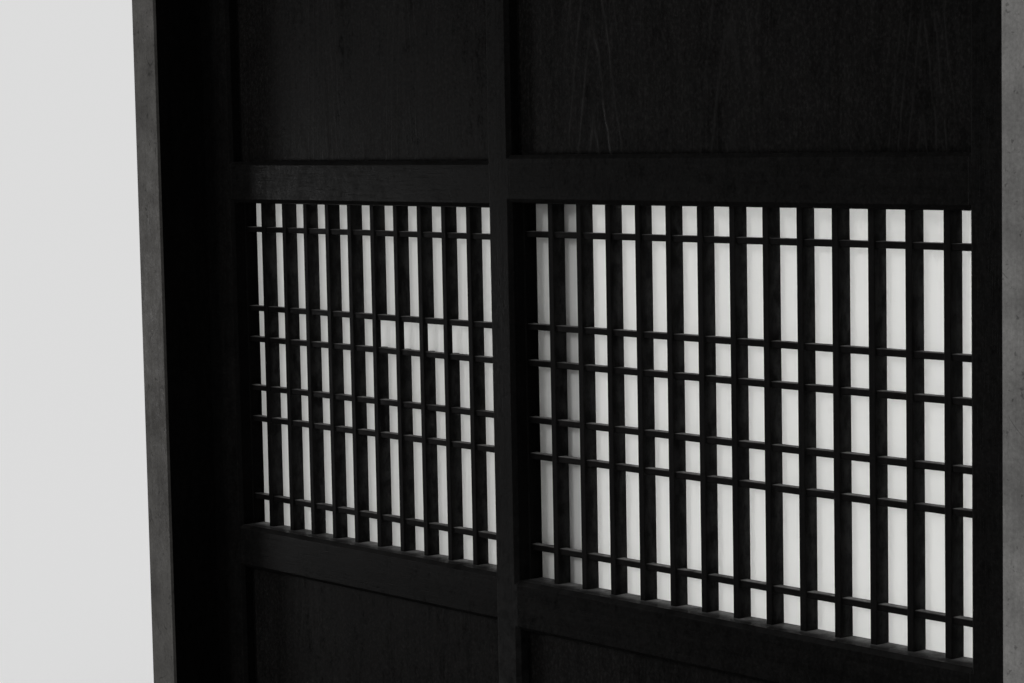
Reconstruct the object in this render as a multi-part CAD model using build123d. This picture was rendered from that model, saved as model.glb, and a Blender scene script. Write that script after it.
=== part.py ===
"""Two-leaf sliding lattice window in a timber frame, in millimetres.

+X runs to the right along the window, +Y from its face to its back, +Z up.
The origin is the middle of the foot of the frame, on the surface that it stands on.
The front leaf rests against the right post, the rear leaf against the left post.
"""
import os

from build123d import *

# Frame of two posts, a head and a sill
clear_width = 1328.0
post_width = 54.0
post_arris = 2.5
front_reveal = 29.0
back_reveal = 23.0
rail_setback = 4.0
sill_height = 45.0
head_height = 40.0
end_housing = 8.0
cross_arris = 1.5

# Tracks that the leaves slide in
track_step = 7.0
sill_groove_depth = 4.0
head_groove_depth = 16.0
groove_side_gap = 0.6
running_gap = 0.3
shoulder_gap = 2.0
leaf_spacing = 2.0
post_groove_depth = 6.0
post_groove_side_gap = 0.5
closing_gap = 0.5
stop_gap = 1.5

# Leaf: two stiles, four rails and two board panels
leaf_thickness = 38.0
meeting_stile_width = 33.5
outer_stile_width = 64.0
bottom_rail_height = 70.0
lower_panel_height = 176.0
lower_lock_rail_height = 54.0
upper_lock_rail_height = 51.0
upper_panel_height = 221.0
top_rail_height = 52.0
opening_arris = 4.3
tongue_thickness = 20.0
top_tongue_height = 13.0
bottom_tongue_height = 5.0
tenon_thickness = 12.0
tenon_length = 18.0
tenon_shoulder = 8.0
joint_gap = 0.05
mortise_end_gap = 1.0

# Board panels in grooves
panel_thickness = 8.0
panel_recess = 15.0
panel_tongue = 7.0
panel_groove_side_gap = 0.1
panel_groove_end_gap = 1.0

# Lattice: upright bars, with thin rails threaded through them
bar_count = 13
bar_pitch = 45.0
bar_width = 8.0
bar_depth = 17.0
bar_recess = 19.0
bar_arris = 0.6
outer_end_gap = 34.3
meeting_end_gap = 37.9
fillet_width = 1.7
thin_rail_height = 6.5
thin_rail_depth = 10.0
thin_rail_recess = 2.0
thin_rail_arris = 0.5
outer_rail_pitch = 100.0
pair_rail_pitch = 39.5
middle_rail_pitch = 62.0
foot_rail_gap = 32.25
head_rail_gap = 29.75
lattice_tenon = 5.0
bar_tenon_depth = 9.0

# Bars of the rear leaf that are cut thin from behind between the second and third thin rails
thinned_bars = (6, 7, 8, 9)
thinned_depth = 7.0

# Pane in a rebate behind the lattice
pane_thickness = 1.5
pane_lap = 8.0
pane_side_gap = 0.5

# Heights of the thin rails, from the lowest up, over the foot of the lattice
rail_steps = (outer_rail_pitch, pair_rail_pitch, middle_rail_pitch, pair_rail_pitch, outer_rail_pitch)
rail_bottoms = [foot_rail_gap]
for step in rail_steps:
    rail_bottoms.append(rail_bottoms[-1] + step)
lattice_height = rail_bottoms[-1] + thin_rail_height + head_rail_gap
lattice_width = outer_end_gap + (bar_count - 1) * bar_pitch + bar_width + meeting_end_gap
opening_width = lattice_width + 2 * fillet_width
opening_height = lattice_height + fillet_width

# Heights of the rails over the foot of a leaf
lower_panel_z = (bottom_rail_height, bottom_rail_height + lower_panel_height)
opening_foot = lower_panel_z[1] + lower_lock_rail_height
opening_z = (opening_foot, opening_foot + opening_height)
upper_panel_foot = opening_z[1] + upper_lock_rail_height
upper_panel_z = (upper_panel_foot, upper_panel_foot + upper_panel_height)
leaf_height = upper_panel_z[1] + top_rail_height

# Depths, from the posts' front to their back
frame_depth = front_reveal + 2 * leaf_thickness + leaf_spacing + back_reveal
front_y = -frame_depth / 2
back_y = frame_depth / 2
front_leaf_y = front_y + front_reveal
rear_leaf_y = front_leaf_y + leaf_thickness + leaf_spacing
step_y = rear_leaf_y - leaf_spacing / 2
post_face = clear_width / 2

# Heights in the frame, over its foot
front_leaf_z = sill_height - sill_groove_depth + running_gap
rear_leaf_z = front_leaf_z - track_step
head_z = front_leaf_z + leaf_height - top_tongue_height + shoulder_gap
frame_height = head_z + head_height

# Rest places of the leaves, by the middle of their lattice openings
outer_edge = post_face + post_groove_depth - closing_gap
leaf_middle = outer_edge - outer_stile_width - opening_width / 2


def block(x, y, z):
    """A box between pairs of coordinates."""
    size = (x[1] - x[0], y[1] - y[0], z[1] - z[0])
    return Pos(x[0], y[0], z[0]) * Box(*size, align=(Align.MIN, Align.MIN, Align.MIN))


def grown(span, by):
    """A pair of coordinates, moved apart by the same amount at both ends."""
    return (span[0] - by, span[1] + by)


def tongue_y(leaf_y):
    """Where the running tongue lies in a leaf's thickness."""
    middle = leaf_y + leaf_thickness / 2
    return (middle - tongue_thickness / 2, middle + tongue_thickness / 2)


def opening_cut(x, z, leaf_y, depth):
    """An opening from a leaf's face inwards, with the arris taken off all round its mouth."""
    hollow = block(x, (leaf_y, leaf_y + depth), z)
    centre = ((x[0] + x[1]) / 2, leaf_y, (z[0] + z[1]) / 2)
    mouth = Plane(origin=centre, x_dir=(1, 0, 0), z_dir=(0, 1, 0))
    outline = Rectangle(x[1] - x[0] + 2 * opening_arris, z[1] - z[0] + 2 * opening_arris)
    return hollow + extrude(mouth * outline, amount=opening_arris, taper=45)


def sill_blank():
    """The sill before its grooves, in two steps, with both ends let into the posts."""
    x = (-post_face - end_housing, post_face + end_housing)
    y = (front_y + rail_setback, back_y - rail_setback)
    blank = block(x, y, (0, sill_height))
    nosing = blank.edges().filter_by(Axis.X).group_by(Axis.Y)[0].sort_by(Axis.Z)[-1]
    blank = chamfer(nosing, cross_arris)
    return blank - block(x, (step_y, y[1]), (sill_height - track_step, sill_height))


def head_blank():
    """The head before its grooves, its rear half lower by the step between the tracks."""
    x = (-post_face - end_housing, post_face + end_housing)
    y = (front_y + rail_setback, back_y - rail_setback)
    blank = block(x, y, (head_z, frame_height))
    nosing = blank.edges().filter_by(Axis.X).group_by(Axis.Y)[0].sort_by(Axis.Z)[0]
    blank = chamfer(nosing, cross_arris)
    return blank + block(x, (step_y, y[1]), (head_z - track_step, frame_height))


def track_grooves(front_z, rear_z):
    """The grooves of both tracks, as wide as the leaves' tongues and their gaps."""
    x = (-post_face - end_housing, post_face + end_housing)
    front = block(x, grown(tongue_y(front_leaf_y), groove_side_gap), front_z)
    rear = block(x, grown(tongue_y(rear_leaf_y), groove_side_gap), rear_z)
    return front + rear


def sill():
    """The sill, with a shallow groove for each leaf to slide in."""
    rear_top = sill_height - track_step
    front_z = (sill_height - sill_groove_depth, sill_height)
    rear_z = (rear_top - sill_groove_depth, rear_top)
    return sill_blank() - track_grooves(front_z, rear_z)


def head():
    """The head, with grooves deep enough to lift each leaf in and out of the sill."""
    rear_foot = head_z - track_step
    front_z = (head_z, head_z + head_groove_depth)
    rear_z = (rear_foot, rear_foot + head_groove_depth)
    return head_blank() - track_grooves(front_z, rear_z)


def post(side, leaf_y, drop):
    """A post, housed for the sill and head, with a groove that takes the closed leaf's edge."""
    outer = side * (post_face + post_width)
    x = sorted((side * post_face, outer))
    timber = block(x, (front_y, back_y), (0, frame_height))
    timber = chamfer(timber.edges().filter_by(Axis.Z), post_arris)
    groove_x = sorted((side * post_face, side * (post_face + post_groove_depth)))
    groove_y = grown((leaf_y, leaf_y + leaf_thickness), post_groove_side_gap)
    groove = block(groove_x, groove_y, (sill_height - drop, head_z - drop))
    return timber - sill_blank() - head_blank() - groove


class Leaf:
    """One sliding leaf. Its outer stile is on the side +1 or -1 and closes against that post."""

    def __init__(self, name, side, leaf_y, foot, thinned):
        self.name = name
        self.side = side
        self.y = leaf_y
        self.foot = foot
        self.thinned = thinned
        self.middle = side * leaf_middle
        self.opening_x = (self.middle - opening_width / 2, self.middle + opening_width / 2)
        self.lattice_x = grown(self.opening_x, -fillet_width)
        left_gap = meeting_end_gap if side > 0 else outer_end_gap
        self.first_bar_x = self.lattice_x[0] + left_gap
        outer = self.middle + side * (opening_width / 2 + outer_stile_width)
        inner = self.middle - side * (opening_width / 2 + meeting_stile_width)
        self.x = tuple(sorted((outer, inner)))
        self.back = leaf_y + leaf_thickness
        self.tenon_y = grown(((leaf_y + self.back) / 2,) * 2, tenon_thickness / 2)
        self.lattice_foot = foot + opening_z[0]

    def raised(self, span):
        """A span of heights over the leaf's foot, in the frame's coordinates."""
        return (self.foot + span[0], self.foot + span[1])

    def from_face(self, near, far):
        """A span of depths behind the leaf's face."""
        return (self.y + near, self.y + far)

    def panel_solid(self, span, side_gap=0.0, end_gap=0.0):
        """A board panel with its hidden tongues, or the room for it when gaps are given."""
        reach = panel_tongue + end_gap
        y = grown(self.from_face(panel_recess, panel_recess + panel_thickness), side_gap)
        return block(grown(self.opening_x, reach), y, grown(self.raised(span), reach))

    def pane_solid(self, side_gap=0.0, thickness=pane_thickness):
        """The pane, or the rebate for it."""
        front = bar_recess + bar_depth
        z = (self.lattice_foot, self.lattice_foot + lattice_height)
        reach = pane_lap + side_gap
        return block(grown(self.lattice_x, reach), self.from_face(front, front + thickness), grown(z, reach))

    def tongue_rebates(self):
        """What is planed away on both faces to leave the running tongues at head and foot."""
        tongue = tongue_y(self.y)
        waste = []
        for z in ((0, bottom_tongue_height), (leaf_height - top_tongue_height, leaf_height)):
            waste.append(block(self.x, (self.y, tongue[0]), self.raised(z)))
            waste.append(block(self.x, (tongue[1], self.back), self.raised(z)))
        return waste

    def framework(self):
        """Stiles and rails as one slab with all openings, grooves and rebates, before it is parted."""
        slab = block(self.x, (self.y, self.back), self.raised((0, leaf_height)))
        for span in (lower_panel_z, upper_panel_z):
            slab -= opening_cut(self.opening_x, self.raised(span), self.y, leaf_thickness)
            slab -= self.panel_solid(span, panel_groove_side_gap, panel_groove_end_gap)
        slab -= opening_cut(self.opening_x, self.raised(opening_z), self.y, bar_recess)
        lattice_z = (self.lattice_foot, self.lattice_foot + lattice_height)
        slab -= block(self.lattice_x, self.from_face(bar_recess, leaf_thickness), lattice_z)
        slab -= self.pane_solid(pane_side_gap, leaf_thickness - bar_recess - bar_depth)
        for waste in self.tongue_rebates():
            slab -= waste
        return slab

    def rail_spans(self):
        """The four rails and their heights over the leaf's foot."""
        return {
            "bottom_rail": (0, lower_panel_z[0]),
            "lower_lock_rail": (lower_panel_z[1], opening_z[0]),
            "upper_lock_rail": (opening_z[1], upper_panel_z[0]),
            "top_rail": (upper_panel_z[1], leaf_height),
        }

    def tenons(self, gap=0.0, end_gap=0.0):
        """The tenons at both ends of every rail, or the mortises for them when gaps are given."""
        pieces = []
        reach = tenon_length + end_gap
        y = grown(self.tenon_y, gap)
        for span in self.rail_spans().values():
            z = grown(self.raised(span), gap - tenon_shoulder)
            pieces.append(block((self.opening_x[0] - reach, self.opening_x[0]), y, z))
            pieces.append(block((self.opening_x[1], self.opening_x[1] + reach), y, z))
        return pieces

    def bar_x(self, number):
        """Left and right side of an upright bar, counted from the left."""
        left = self.first_bar_x + (number - 1) * bar_pitch
        return (left, left + bar_width)

    def rail_z(self, number):
        """Bottom and top of a thin rail, counted from the top."""
        bottom = self.lattice_foot + rail_bottoms[-number]
        return (bottom, bottom + thin_rail_height)

    def bar_tenon(self, number, gap=0.0, end_gap=0.0):
        """The stub tenons of a bar, as one stick that runs through it, or the room for them."""
        middle = bar_recess + bar_depth / 2
        y = self.from_face(middle - bar_tenon_depth / 2, middle + bar_tenon_depth / 2)
        z = (self.lattice_foot, self.lattice_foot + lattice_height)
        return block(grown(self.bar_x(number), gap), grown(y, gap), grown(z, lattice_tenon + end_gap))

    def thin_rail(self, number, gap=0.0, end_gap=0.0, arris=0.0):
        """A thin rail that runs through all bars into both stiles, or the mortises for it."""
        front = bar_recess + thin_rail_recess
        y = grown(self.from_face(front, front + thin_rail_depth), gap)
        x = grown(self.lattice_x, lattice_tenon + end_gap)
        stick = block(x, y, grown(self.rail_z(number), gap))
        if arris:
            stick = chamfer(stick.edges().filter_by(Axis.X).group_by(Axis.Y)[0], arris)
        return stick

    def bar(self, number):
        """An upright bar, mortised for the thin rails, its front arrises taken off."""
        y = self.from_face(bar_recess, bar_recess + bar_depth)
        z = (self.lattice_foot, self.lattice_foot + lattice_height)
        stick = block(self.bar_x(number), y, z)
        stick = chamfer(stick.edges().filter_by(Axis.Z).group_by(Axis.Y)[0], bar_arris)
        stick += self.bar_tenon(number)
        for rail in range(1, len(rail_bottoms) + 1):
            stick -= self.thin_rail(rail, joint_gap)
        if number in self.thinned:
            cut_y = self.from_face(bar_recess + thinned_depth, bar_recess + bar_depth)
            cut_z = (self.rail_z(3)[1], self.rail_z(2)[0])
            stick -= block(self.bar_x(number), cut_y, cut_z)
        return stick

    def stile_rooms(self, y, full_z):
        """Where the slab is parted for the stiles, with the lips that close against the lattice."""
        lip_z = self.raised(opening_z)
        left = block((self.x[0], self.opening_x[0]), y, full_z)
        left = left + block((self.opening_x[0], self.lattice_x[0]), y, lip_z)
        right = block((self.opening_x[1], self.x[1]), y, full_z)
        right = right + block((self.lattice_x[1], self.opening_x[1]), y, lip_z)
        return left, right

    def pieces(self):
        """Every piece of the leaf, by its node's name."""
        slab = self.framework()
        full_z = self.raised((0, leaf_height))
        y = (self.y, self.back)
        sockets = self.tenons(joint_gap, mortise_end_gap)
        rail_numbers = range(1, len(rail_bottoms) + 1)
        bar_numbers = range(1, bar_count + 1)
        rail_room = [self.thin_rail(number, joint_gap, joint_gap) for number in rail_numbers]
        bar_room = [self.bar_tenon(number, joint_gap, joint_gap) for number in bar_numbers]
        parts = {}

        left_room, right_room = self.stile_rooms(y, full_z)
        left_stile = (slab & left_room) - sockets - rail_room
        right_stile = (slab & right_room) - sockets - rail_room
        meeting, outer = (left_stile, right_stile) if self.side > 0 else (right_stile, left_stile)
        parts["meeting_stile"] = meeting
        parts["outer_stile"] = outer

        tenons = self.tenons()
        for index, (rail_name, span) in enumerate(self.rail_spans().items()):
            room = block(self.opening_x, y, self.raised(span))
            if rail_name == "upper_lock_rail":
                room = room + block(self.lattice_x, y, self.raised((span[0] - fillet_width, span[0])))
            rail = (slab & room) + tenons[2 * index : 2 * index + 2]
            if "lock" in rail_name:
                rail = rail - bar_room
            parts[rail_name] = rail

        parts["lower_panel"] = self.panel_solid(lower_panel_z)
        parts["upper_panel"] = self.panel_solid(upper_panel_z)
        parts["pane"] = self.pane_solid()
        for number in bar_numbers:
            parts[f"bar_{number:02d}"] = self.bar(number)
        for number in rail_numbers:
            parts[f"thin_rail_{number}"] = self.thin_rail(number, arris=thin_rail_arris)
        return {f"{self.name}_{key}": solid for key, solid in parts.items()}


front_leaf = Leaf("front", 1, front_leaf_y, front_leaf_z, ())
rear_leaf = Leaf("rear", -1, rear_leaf_y, rear_leaf_z, thinned_bars)

nodes = {
    "sill": sill(),
    "head": head(),
    "left_post": post(-1, rear_leaf_y, track_step),
    "right_post": post(1, front_leaf_y, 0.0),
}
nodes.update(front_leaf.pieces())
nodes.update(rear_leaf.pieces())

os.makedirs("parts", exist_ok=True)
for node, solid in nodes.items():
    export_step(solid, f"parts/{node}.step")

leaf_travel = outer_edge - (opening_width + outer_stile_width + meeting_stile_width) + post_face - stop_gap
print("frame", clear_width + 2 * post_width, frame_depth, frame_height)
print("leaf height", leaf_height, "opening", opening_width, opening_height)
print("leaf travel", leaf_travel)
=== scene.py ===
"""A two-leaf sliding lattice window of near-black timber with white translucent panes."""
import math
from collections import namedtuple

import bpy
from mathutils import Matrix, Vector


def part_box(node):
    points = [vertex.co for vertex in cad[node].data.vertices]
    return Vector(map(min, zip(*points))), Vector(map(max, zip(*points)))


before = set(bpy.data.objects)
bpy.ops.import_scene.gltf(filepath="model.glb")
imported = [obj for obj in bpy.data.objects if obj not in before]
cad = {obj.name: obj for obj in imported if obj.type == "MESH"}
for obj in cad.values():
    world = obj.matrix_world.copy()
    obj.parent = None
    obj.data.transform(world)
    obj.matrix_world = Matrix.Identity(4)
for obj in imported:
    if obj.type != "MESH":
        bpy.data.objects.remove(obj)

scene = bpy.context.scene
scene.view_settings.view_transform = "Standard"
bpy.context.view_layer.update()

# Viewpoint: to the right of the window at about two thirds of its height, looking along it
# to the left and a little down through a long lens, so that the leaves recede to the left.
turn = math.radians(49.5556)
dip = math.radians(4.9057)
lean = math.radians(1.11)
eye = (2.01294, -1.76755, 0.83199)
picture_width = 1024
focal_length = 2484.28
film_width = 36
ahead = Vector((-math.sin(turn) * math.cos(dip), math.cos(turn) * math.cos(dip), -math.sin(dip)))
level_right = Vector((math.cos(turn), math.sin(turn), 0))
level_down = ahead.cross(level_right)
view_right = level_right * math.cos(lean) + level_down * math.sin(lean)
view_down = level_down * math.cos(lean) - level_right * math.sin(lean)
camera = bpy.data.objects.new("camera", bpy.data.cameras.new("camera"))
camera.data.sensor_width = film_width
camera.data.lens = focal_length / picture_width * film_width
camera.matrix_world = Matrix((view_right, -view_down, -ahead)).transposed().to_4x4()
camera.matrix_world.translation = eye
scene.collection.objects.link(camera)
scene.camera = camera

# Studio: a pale floor that runs into a pale backdrop, one broad light from high in front, a low
# lamp on the left that gives the wood its sheen, and one behind that shines through the panes.
middle = Vector((0.0, 0.0, 0.55))
floor_reach = 40
floor_grey = 0.9


def soft_light(name, kind, side, height, distance, power):
    """A light aimed at the window, placed by its angles from the window's normal."""
    light = bpy.data.objects.new(name, bpy.data.lights.new(name, kind))
    light.data.energy = power
    side = math.radians(side)
    height = math.radians(height)
    level = math.cos(height)
    towards = Vector((math.sin(side) * level, -math.cos(side) * level, math.sin(height)))
    light.location = middle + towards * distance
    light.rotation_mode = "QUATERNION"
    light.rotation_quaternion = towards.to_track_quat("Z", "Y")
    light.visible_camera = False
    scene.collection.objects.link(light)
    return light


front_light = soft_light("front_light", "SUN", side=-22, height=24, distance=4.0, power=1.2)
front_light.data.angle = math.radians(12)
side_lamp = soft_light("side_lamp", "AREA", side=-65, height=-4, distance=4.0, power=76)
side_lamp.data.size = 0.7
back_lamp = soft_light("back_lamp", "AREA", side=140, height=-2, distance=2.4, power=40)
back_lamp.data.size = 1.0


class Wire:
    """One socket of a shader, with arithmetic that adds the nodes that it needs."""

    def __init__(self, tree, socket=None):
        self.tree = tree
        self.socket = socket

    def add(self, kind, settings=None, sockets=None, output=0):
        """Any node: its settings are made first, then the values or wires of its sockets."""
        node = self.tree.nodes.new(kind)
        for name, value in (settings or {}).items():
            setattr(node, name, value)
        for name, value in (sockets or {}).items():
            if isinstance(value, Wire):
                value.into(node, name)
            else:
                node.inputs[name].default_value = value
        return Wire(self.tree, node.outputs[output])

    def into(self, node, name):
        """Leads this wire into a node's socket."""
        self.tree.links.new(self.socket, node.inputs[name])

    def also(self, output):
        """Another output of the same node."""
        return Wire(self.tree, self.socket.node.outputs[output])

    @staticmethod
    def has_three_parts(value):
        """True of a place or a colour, as a wire or as plain numbers."""
        if isinstance(value, Wire):
            return value.socket.type in ("VECTOR", "RGBA")
        return isinstance(value, tuple)

    def join(self, operation, first, second):
        """Two wires or values in a Math node, or in Vector Math if either has three parts."""
        kind = "ShaderNodeMath"
        if self.has_three_parts(first) or self.has_three_parts(second):
            kind = "ShaderNodeVectorMath"
            first, second = [(v, v, v) if isinstance(v, (int, float)) else v for v in (first, second)]
        return self.add(kind, {"operation": operation}, {0: first, 1: second})

    def __add__(self, other):
        return self.join("ADD", self, other)

    def __radd__(self, other):
        return self.join("ADD", other, self)

    def __sub__(self, other):
        return self.join("SUBTRACT", self, other)

    def __rsub__(self, other):
        return self.join("SUBTRACT", other, self)

    def __mul__(self, other):
        return self.join("MULTIPLY", self, other)

    def __rmul__(self, other):
        return self.join("MULTIPLY", other, self)

    def __pow__(self, other):
        return self.join("POWER", self, other)

    def __rpow__(self, other):
        return self.join("POWER", other, self)

    def maths(self, operation):
        """A Math node with this wire alone, such as a cosine."""
        return self.add("ShaderNodeMath", {"operation": operation}, {0: self})

    def dot(self, other):
        """The dot product of two directions."""
        sockets = {0: self, 1: other}
        return self.add("ShaderNodeVectorMath", {"operation": "DOT_PRODUCT"}, sockets, "Value")

    def rise(self, low, high):
        """0 below low, 1 above high and a smooth rise between them."""
        ends = {"Value": self, "From Min": low, "From Max": high}
        return self.add("ShaderNodeMapRange", {"interpolation_type": "SMOOTHSTEP"}, ends)

    def noise(self, scale, detail=4.0, roughness=0.5):
        """Clouds at this place, with that many to the metre."""
        sockets = {"Vector": self, "Scale": scale, "Detail": detail, "Roughness": roughness}
        return self.add("ShaderNodeTexNoise", None, sockets)

    def blend(self, first, second):
        """From the first colour to the second as this wire goes from 0 to 1."""
        return self.add("ShaderNodeMix", {"data_type": "RGBA"}, {0: self, 6: first, 7: second}, 2)


def new_finish(name):
    """An empty material, its shader, and a wire to start its nodes from."""
    material = bpy.data.materials.new(name)
    material.use_nodes = True
    tree = material.node_tree
    return material, tree.nodes["Principled BSDF"], Wire(tree)


def shown_grey(start, lit, shown):
    """One grey for light that falls on things, another where the eye or a gloss looks."""
    looks = start.add("ShaderNodeLightPath", output="Is Camera Ray")
    seen = looks
    for kind in ("Is Glossy Ray", "Is Transmission Ray"):
        seen = seen.join("MAXIMUM", seen, looks.also(kind))
    return seen.blend((lit, lit, lit, 1.0), (shown, shown, shown, 1.0))


studio = bpy.data.worlds.new("studio")
studio.use_nodes = True
scene.world = studio
backdrop = studio.node_tree.nodes["Background"]
shown_grey(Wire(studio.node_tree), lit=0.5, shown=0.72).into(backdrop, "Color")
backdrop.inputs["Strength"].default_value = 1.0

floor_mesh = bpy.data.meshes.new("floor")
near_left = (-floor_reach, -floor_reach, 0)
near_right = (floor_reach, -floor_reach, 0)
far_right = (floor_reach, floor_reach, 0)
far_left = (-floor_reach, floor_reach, 0)
floor_mesh.from_pydata([near_left, near_right, far_right, far_left], [], [(0, 1, 2, 3)])
floor = bpy.data.objects.new("floor", floor_mesh)
scene.collection.objects.link(floor)
floor_paint, matt, start = new_finish("floor_paint")
matt.inputs["Base Color"].default_value = (floor_grey, floor_grey, floor_grey, 1.0)
matt.inputs["Roughness"].default_value = 0.9
matt.inputs["Specular IOR Level"].default_value = 0.0
shown_grey(start, lit=0.0, shown=0.13).into(matt, "Emission Color")
matt.inputs["Emission Strength"].default_value = 1.0
floor_mesh.materials.append(floor_paint)

# The side and back lamps stand low, so they are kept from burning pale patches into the floor.
unlit = bpy.data.collections.new("unlit")
unlit.objects.link(floor)
for lamp in (side_lamp, back_lamp):
    lamp.light_linking.receiver_collection = unlit
unlit.collection_objects[0].light_linking.link_state = "EXCLUDE"

# Sill and head: two long beams of dark stained timber, grooved for the leaves and housed in the
# posts. Their arrises are rubbed a little bare, which also paints a highlight along them, and dust
# lies on what faces up.
track_stain = (0.012, 0.0117, 0.0113)
track_bare = (0.026, 0.0254, 0.0248)
track_dust = (0.034, 0.0334, 0.0328)


def timber(name, run, stain, bare_and_highlit, dust, shine=0.32, sheen=0.006, pane_y=None, side=None):
    """Stained timber with its grain along X or Z: streaks, pores, worn edges and dust on its tops.

    The colours are those of its stain, of its worn edges, whose paler colour is also a painted
    highlight, and of the dust; shine is its least roughness and sheen the strength of its gloss.
    Round a pane, the tops within a finger's width of it are dusty and painted paler, a painted
    reflection of the bright pane, and the sides of bars are blotched and painted paler towards it,
    a painted light from the pane.
    """
    material, wood, start = new_finish(name)
    place = start.add("ShaderNodeTexCoord", output="Object")

    # The grain is drawn out along the wood, and the stain took unevenly.
    drawn_out = 0.035
    along = place * ((drawn_out, 1.0, 1.0) if run == "X" else (1.0, 1.0, drawn_out))
    streak = along.noise(240, 6, 0.6)
    band = along.noise(34, 3, 0.5)
    pores = along.noise(900, 2, 0.5).rise(0.58, 0.72)
    cloud = place.noise(5, 3, 0.5)
    rubbed = place.noise(38, 5, 0.65)
    mottle = place.noise(230, 4, 0.7)
    blotch = (place * (1.0, 1.0, 0.6)).noise(90, 5, 0.7)
    bloom = 0.92 + place.noise(300, 3, 0.7).rise(0.44, 0.7) * 0.5
    shade = (0.5 + streak * 0.6) * (0.62 + band * 0.76) * (0.6 + cloud * 0.8)
    shade = shade * (0.5 + mottle) * (0.4 + blotch * 1.2) * bloom

    # Arrises are worn bare in places, and that paler colour is also a painted highlight along them.
    arris = 0.0014
    normal = start.add("ShaderNodeNewGeometry", output="Normal")
    eased = start.add("ShaderNodeBevel", {"samples": 6}, {"Radius": arris})
    arris_wear_and_highlight = (1 - eased.dot(normal)).rise(0.02, 0.22)
    worn = arris_wear_and_highlight * rubbed.rise(0.3, 0.62)
    colour = worn.blend(shade * stain, bare_and_highlit + (1.0,))

    # Dust lies on what faces up; near a pane it is painted paler, a painted reflection of the pane.
    lying_dust_and_light = normal.dot((0.0, 0.0, 1.0)).rise(0.62, 0.97) * rubbed.rise(0.2, 0.75)
    if pane_y is not None:
        pane_light_reach = 0.026
        thick = 0.004
        depth = start.add("ShaderNodeSeparateXYZ", None, {0: place}, "Y") - pane_y
        lying_dust_and_light = lying_dust_and_light * (0.13 + depth.rise(-pane_light_reach, -thick) * 0.87)
    if side is not None:
        # The flanks of bars are painted paler towards the pane in blotches, a painted light from the
        # bright pane.
        bar_depth = 0.016
        flank = normal.dot((1.0, 0.0, 0.0)).maths("ABSOLUTE").rise(0.6, 0.9)
        painted_pane_light = 0.3 + depth.rise(-bar_depth, 0.0) * 0.7
        blotched = 0.22 + blotch.rise(0.36, 0.66) * 0.78
        colour = (flank * painted_pane_light * blotched).blend(colour, side + (1.0,))
    colour = lying_dust_and_light.blend(colour, dust + (1.0,))
    colour.into(wood, "Base Color")

    # The gloss is as uneven as the stain, and the grain can be felt.
    uneven = (mottle - 0.5) * 0.5 + (blotch - 0.5) * 0.7
    rough = shine + cloud * 0.16 + pores * 0.1 - worn * 0.06 + uneven
    rough.into(wood, "Roughness")
    height = streak * 0.35 + band * 0.4 - pores * 0.2 + mottle * 0.5
    relief = {"Strength": 0.5, "Distance": 0.0006, "Height": height, "Normal": eased}
    start.add("ShaderNodeBump", None, relief).into(wood, "Normal")
    wood.inputs["Specular IOR Level"].default_value = sheen
    return material


def dress(material, *nodes):
    """Gives CAD pieces their finish."""
    for node in nodes:
        cad[node].material_slots[0].material = material


dress(timber("track_wood", "X", track_stain, track_bare, track_dust), "sill", "head")

# Posts: an upright timber at either side, housed for the sill and head and grooved for the closed
# leaf. Their fronts are weathered grey and scratched by hands and by what was carried past; the
# sides that face the leaves are painted near black, a painted shade for the shadow in the reveals.
post_side_painted_shade = (0.003, 0.0029, 0.0028)
post_bare = (0.02, 0.0195, 0.019)
post_dust = (0.05, 0.049, 0.048)


def base_colour(material):
    """A finished material's shader, and the wire that gives it its colour."""
    shader = material.node_tree.nodes["Principled BSDF"]
    link = shader.inputs["Base Color"].links[0]
    return shader, Wire(material.node_tree, link.from_socket)


def post_timber(name, grey, pale):
    """A post painted near black, a painted shade on its sides, with a weathered grey front, streaked,
    pitted and scratched.
    """
    material = timber(name, "Z", post_side_painted_shade, post_bare, post_dust, shine=0.45, sheen=0.01)
    wood, dark = base_colour(material)
    place = dark.add("ShaderNodeTexCoord", output="Object")
    normal = dark.add("ShaderNodeNewGeometry", output="Normal")
    front = normal.dot((0.0, -1.0, 0.0)).rise(0.45, 0.85)
    streak = (place * (1.0, 1.0, 0.06)).noise(180, 5, 0.65)
    cloud = place.noise(9, 5, 0.65)
    speckle = place.noise(260, 4, 0.7)
    pits = place.noise(120, 3, 0.6).rise(0.63, 0.7)
    drag = ((place * (1.0, 1.0, 0.55)).noise(17, 2, 0.4) - 0.5).maths("ABSOLUTE")
    scratch = (1 - drag.rise(0.0, 0.006)) * place.noise(31, 2, 0.5).rise(0.52, 0.6)
    shade = (0.65 + streak * 0.35) * (0.35 + cloud * 1.3) * (0.55 + speckle * 0.9)
    shade = shade * (1 - pits * 0.4) * (1 - scratch * 0.5)
    worn = (front * cloud.rise(0.2, 0.8)).blend(shade * grey, shade * pale)
    front.blend(dark, worn).into(wood, "Base Color")
    return material


right_wood = post_timber("right_post_wood", grey=(0.112, 0.11, 0.107), pale=(0.155, 0.152, 0.148))
# The left post's front is a darker grey than the right's, a painted shade for the shadow it stands
# in.
left_shaded_wood = post_timber("left_post_shaded_wood", grey=(0.040, 0.038, 0.036), pale=(0.06, 0.058, 0.055))
dress(right_wood, "right_post")
dress(left_shaded_wood, "left_post")

# Leaf frames: two stiles and four rails to each leaf, mortised and tenoned, stained nearly black
# and hand-worn to a satin; a wide chamfer runs round the mouth of each opening. Dust lies on the
# lock rail under the lattice, and its top is painted paler near the pane, a painted reflection of
# the bright pane.
leaf_stain = (0.0036, 0.00348, 0.0034)
leaf_bare = (0.010, 0.0097, 0.0094)
leaf_wiped = (0.010, 0.0099, 0.0098)
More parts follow.
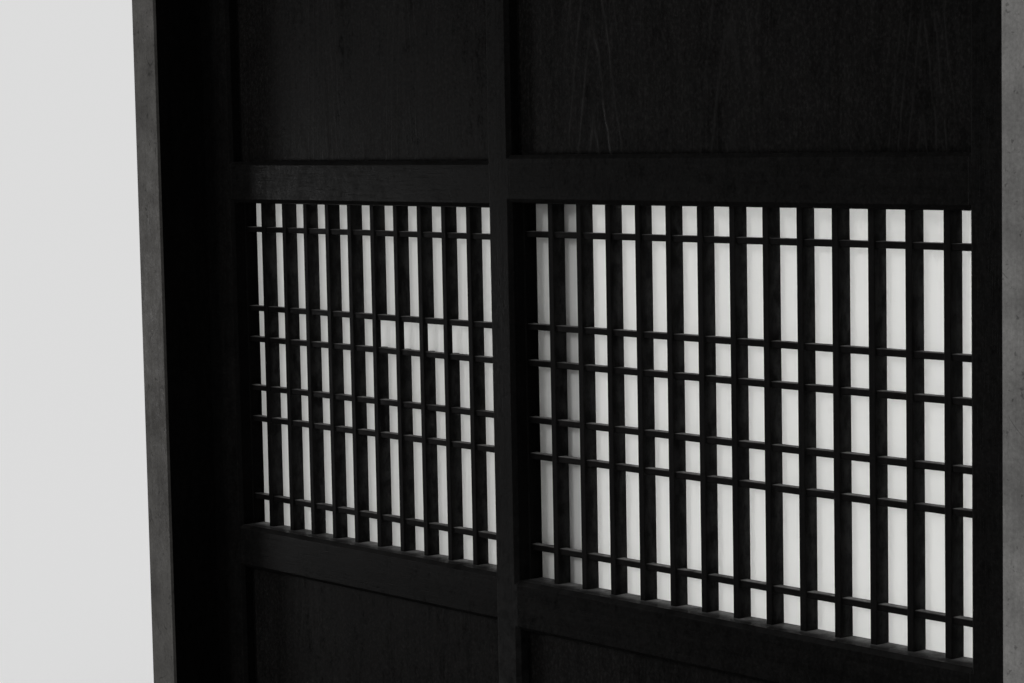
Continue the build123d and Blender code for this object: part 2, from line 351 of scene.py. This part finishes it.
# Pale dust on the lock rail's top, also a painted reflection of the bright pane.
leaf_dust_and_pane_light = (0.21, 0.208, 0.206)
wiped_finish = {"stain": leaf_stain, "bare_and_highlit": leaf_bare, "dust": leaf_wiped}
dust_and_pane_light_finish = {"stain": leaf_stain, "bare_and_highlit": leaf_bare, "dust": leaf_dust_and_pane_light}
rail_sheen = {"front_": 0.0042, "rear_": 0.0064}


def painted_sheen_foot(material):
    """Paints a stile paler towards its foot in mottled patches, a painted sheen."""
    foot = 0.18
    knee = 0.5
    wood, stain = base_colour(material)
    place = stain.add("ShaderNodeTexCoord", output="Object")
    low = 1 - stain.add("ShaderNodeSeparateXYZ", None, {0: place}, "Z").rise(foot, knee)
    painted_sheen = stain + low * place.noise(60, 5, 0.65).rise(0.2, 0.7) * 0.007
    painted_sheen.into(wood, "Base Color")


for leaf, sheen in rail_sheen.items():
    pane_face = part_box(leaf + "pane")[0].y
    stile_wood = timber(leaf + "stile_wood", "Z", **wiped_finish)
    rail_wood = timber(leaf + "rail_wood", "X", **wiped_finish, sheen=sheen)
    pane_lit_dusty_wood = timber(leaf + "pane_lit_dusty_wood", "X", **dust_and_pane_light_finish, sheen=sheen, pane_y=pane_face)
    meeting_wood = timber(leaf + "meeting_wood", "Z", **wiped_finish)
    # The meeting stile gets a painted sheen towards its foot.
    painted_sheen_foot(meeting_wood)
    dress(stile_wood, leaf + "outer_stile")
    dress(meeting_wood, leaf + "meeting_stile")
    dress(rail_wood, leaf + "bottom_rail", leaf + "upper_lock_rail", leaf + "top_rail")
    dress(pane_lit_dusty_wood, leaf + "lower_lock_rail")

# Board panels: thin flat-sawn boards, stained like the frame and let into its grooves, with tall
# flames of grain whose hard rings stand a little proud and have lost some stain.
board_stain = (0.0042, 0.0040, 0.0039)
ring_stain = (0.0085, 0.0082, 0.0080, 1.0)

# A flame has the X of its heart, the height of a tip and how blunt that is, how fast its sides
# spread downwards, the gap between its rings and how clearly it shows.
Flame = namedtuple("Flame", "heart tip blunt spread gap clear")


def flame_board(name, sheen, flames):
    """Flat-sawn boards with upright grain: broad streaks, fine fibres and a few clear flames."""
    material, wood, start = new_finish(name)
    place = start.add("ShaderNodeTexCoord", output="Object")
    across = start.add("ShaderNodeSeparateXYZ", None, {0: place})
    warp = (place * (1.0, 1.0, 0.3)).noise(9, 3, 0.5) - 0.5
    ripple = (place * (1.0, 1.0, 0.5)).noise(40, 4, 0.65) - 0.5
    patch = (place * (1.0, 1.0, 0.7)).noise(24, 4, 0.65)

    # Each flame is a stack of hyperbolas, as a flat cut through a cone of rings leaves them.
    clear_width = 0.024
    faded_width = 0.05
    line = 0.0
    for flame in flames:
        aside = across + warp * 0.016 + ripple * 0.007 - flame.heart
        below = flame.tip - across.also("Z")
        slant = (aside * aside + flame.blunt * flame.blunt) ** 0.5
        ring = slant + ripple * 0.003 - flame.blunt - below * flame.spread
        wave = (ring * (2 * math.pi / flame.gap)).maths("COSINE") * 0.5 + 0.5
        near = 1 - aside.maths("ABSOLUTE").rise(clear_width, faded_width)
        line = line + wave ** 10 * near * (0.3 + patch.rise(0.4, 0.62) * 0.7) * flame.clear

    # Between the flames the grain is straight, and the stain took unevenly.
    fine = (place * (1.0, 1.0, 0.03)).noise(300, 5, 0.6)
    band = (place * (1.0, 1.0, 0.07)).noise(26, 4, 0.55)
    cloud = place.noise(6, 3, 0.5)
    mottle = place.noise(240, 4, 0.7)
    blotch = (place * (1.0, 1.0, 0.4)).noise(90, 5, 0.7)
    bloom = 0.85 + (place * (1.0, 1.0, 0.7)).noise(320, 3, 0.7).rise(0.44, 0.7) * 0.9
    shade = (0.45 + fine * 0.75) * (0.65 + cloud * 0.7) * (0.5 + band)
    shade = shade * (0.4 + mottle * 1.2) * (0.4 + blotch * 1.2) * bloom
    line.blend(shade * board_stain, ring_stain).into(wood, "Base Color")

    # The gloss is as uneven as the stain, and the rings stand proud.
    uneven = (band - 0.5) * 0.5 + (mottle - 0.5) * 0.5 + (blotch - 0.5) * 0.7
    rough = 0.36 + cloud * 0.12 + uneven - line * 0.05
    rough.into(wood, "Roughness")
    height = line * 0.8 + fine * 0.3 + mottle * 0.4
    relief = {"Strength": 0.45, "Distance": 0.0007, "Height": height}
    start.add("ShaderNodeBump", None, relief).into(wood, "Normal")
    wood.inputs["Specular IOR Level"].default_value = sheen
    return material


front_upper_flames = [
    Flame(heart=0.1035, tip=0.938, blunt=0.0034, spread=0.161, gap=0.017, clear=1.0),
    Flame(heart=0.300, tip=1.03, blunt=0.010, spread=0.160, gap=0.017, clear=0.5),
    Flame(heart=0.542, tip=0.832, blunt=0.0025, spread=0.115, gap=0.011, clear=0.6),
]
rear_upper_flames = [
    Flame(heart=-0.424, tip=0.861, blunt=0.002, spread=0.05, gap=0.010, clear=0.45),
    Flame(heart=-0.269, tip=0.835, blunt=0.003, spread=0.07, gap=0.010, clear=0.3),
]
front_lower_flames = [
    Flame(heart=0.17, tip=0.25, blunt=0.004, spread=0.12, gap=0.014, clear=0.3),
    Flame(heart=0.41, tip=0.22, blunt=0.006, spread=0.14, gap=0.015, clear=0.3),
]
rear_lower_flames = [
    Flame(heart=-0.48, tip=0.23, blunt=0.005, spread=0.12, gap=0.014, clear=0.3),
    Flame(heart=-0.2, tip=0.26, blunt=0.004, spread=0.13, gap=0.014, clear=0.3),
]
front_sheen = 0.0048
rear_upper_sheen = 0.0056
rear_lower_sheen = 0.005
dress(flame_board("front_upper_boards", front_sheen, front_upper_flames), "front_upper_panel")
dress(flame_board("rear_upper_boards", rear_upper_sheen, rear_upper_flames), "rear_upper_panel")
dress(flame_board("front_lower_boards", front_sheen, front_lower_flames), "front_lower_panel")
dress(flame_board("rear_lower_boards", rear_lower_sheen, rear_lower_flames), "rear_lower_panel")

# Lattice: thirteen upright bars to a leaf, threaded by six thin rails that are let into the
# stiles. Fine straight-grained sticks, stained as dark as the frame, their arrises just eased.
bar_count = 13
thin_rail_count = 6
# Painted light from the bright pane on the flanks of the bars.
bar_flank_painted_light = (0.034, 0.0335, 0.033)
stick_finish = {
    "stain": (0.0040, 0.00385, 0.00375),
    "bare_and_highlit": (0.010, 0.0096, 0.0093),
    # The sticks' dust is pale: on the thin rails' tops it is also a painted reflection of the bright
    # pane.
    "dust": (0.22, 0.216, 0.212),
    "shine": 0.42,
    "sheen": 0.005,
}
for leaf in ("front_", "rear_"):
    pane_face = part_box(leaf + "pane")[0].y
    bar_wood = timber(leaf + "bar_wood", "Z", **stick_finish, pane_y=pane_face, side=bar_flank_painted_light)
    thin_rail_wood = timber(leaf + "thin_rail_wood", "X", **stick_finish)
    dress(bar_wood, *[f"{leaf}bar_{number:02d}" for number in range(1, bar_count + 1)])
    dress(thin_rail_wood, *[f"{leaf}thin_rail_{number}" for number in range(1, thin_rail_count + 1)])

# Panes: one white sheet of laminated paper board to a leaf, laid in a rebate behind the bars.
# It lets light through, so what stands close behind it shows as a soft dark shape.
through_share = 0.68


def pane_sheet(name, white):
    """White paper board: part of the light comes back from its face, part comes through."""
    material, face, start = new_finish(name)
    paper = (white, white, white * 0.985)
    place = start.add("ShaderNodeTexCoord", output="Object")
    fibre = (place * (1.0, 1.0, 0.4)).noise(160, 6, 0.7)
    cloud = place.noise(7, 3, 0.5)
    shade = 0.95 + fibre * 0.1 + (cloud - 0.5) * 0.06
    (shade * paper).into(face, "Base Color")
    (0.55 + cloud * 0.15).into(face, "Roughness")
    relief = {"Strength": 0.3, "Distance": 0.0002, "Height": fibre}
    start.add("ShaderNodeBump", None, relief).into(face, "Normal")
    face.inputs["Specular IOR Level"].default_value = 0.2
    front = Wire(material.node_tree, face.outputs["BSDF"])
    through = start.add("ShaderNodeBsdfTranslucent", None, {"Color": paper + (1.0,)})
    sheet = start.add("ShaderNodeMixShader", None, {0: through_share, 1: front, 2: through})
    sheet.into(material.node_tree.nodes["Material Output"], "Surface")
    return material


dress(pane_sheet("front_paper", white=0.80), "front_pane")
# The rear sheet is a greyer white than the front one, painted shade for the dimmer light on it.
dress(pane_sheet("rear_shaded_paper", white=0.72), "rear_pane")
